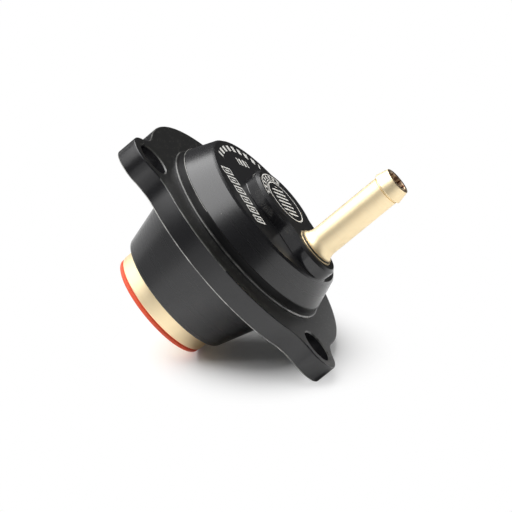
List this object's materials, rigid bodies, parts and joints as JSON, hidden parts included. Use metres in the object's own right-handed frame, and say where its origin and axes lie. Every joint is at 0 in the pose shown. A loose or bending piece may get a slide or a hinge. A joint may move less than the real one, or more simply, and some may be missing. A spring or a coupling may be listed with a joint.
{
  "type": "blow off valve",
  "caption": "Turbo blow off valve: black eared flange and tapered skirt, spring-loaded brass piston with a face seal, screwed cap with a brass hose nipple.",
  "frame": {"origin": "centre of the piston's nose face, on the axis of the bore, with the valve closed", "axes": "+Z along the bore's axis from the piston's nose to the cap and hose nipple; +X from the axis towards the hose nipple and the ear beside it"},
  "size_m": [0.0617, 0.06, 0.0558],
  "materials": {
    "black_anodised": "turned or bead-blasted aluminium, anodised black, satin",
    "brass": "turned brass, bright",
    "orange_silicone": "moulded silicone, satin",
    "black_rubber": "moulded rubber, dull",
    "spring_steel": "drawn spring wire",
    "guide_plastic": "filled plastic bearing strip"
  },
  "bodies": {
    "housing": {"valve_body": "black_anodised", "top_cap": "black_anodised", "cap_o_ring": "black_rubber", "flange_o_ring": "black_rubber", "hose_nipple": "brass", "nipple_washer": "brass", "return_spring": "spring_steel"},
    "piston": {"piston": "brass", "piston_face_seal": "orange_silicone", "piston_guide_ring": "guide_plastic"}
  },
  "joints": [
    {"name": "piston_slide", "type": "slide", "parent": "housing", "child": "piston", "axis": [0, 0, 1], "range_m": [0, 0.008], "stiffness_N_per_m": 2500, "springref_m": -0.01, "deforming": ["return_spring"]}
  ]
}
